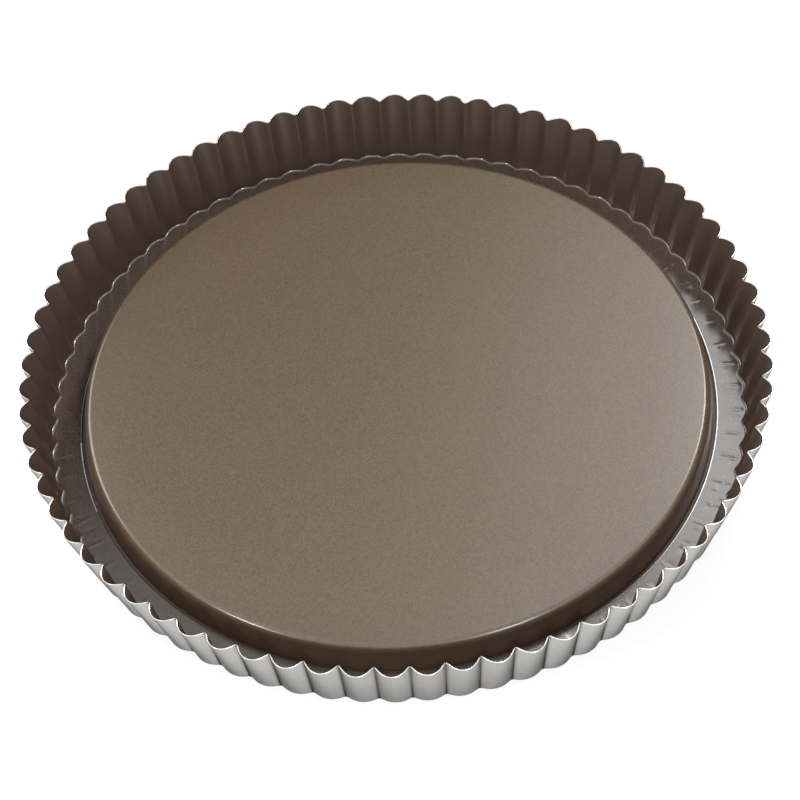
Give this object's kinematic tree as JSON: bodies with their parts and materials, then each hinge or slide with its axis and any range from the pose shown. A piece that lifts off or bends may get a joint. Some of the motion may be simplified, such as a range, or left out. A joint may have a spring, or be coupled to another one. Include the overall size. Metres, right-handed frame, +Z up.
{
  "type": "fluted tart pan",
  "caption": "Round fluted tart pan: a flared fluted steel ring with a turned-in ledge, and a raised loose base that lifts out to release the tart.",
  "frame": {"origin": "centre of the pan's underside, on the surface that it stands on", "axes": "+Z up along the axis of the round pan; +X and +Y through the middle of a flute"},
  "size_m": [0.28, 0.28, 0.0292],
  "materials": {
    "ring_coated_steel": "satin brown non-stick coating inside, light grey lacquer outside, bare cut edges",
    "base_coated_steel": "satin brown non-stick coating with a fine sparkle"
  },
  "bodies": {
    "ring": {"fluted_ring": "ring_coated_steel"},
    "base": {"loose_base": "base_coated_steel"}
  },
  "joints": [
    {"name": "base_lift", "type": "slide", "parent": "ring", "child": "base", "axis": [0, 0, 1], "range_m": [0, 0.045]}
  ]
}
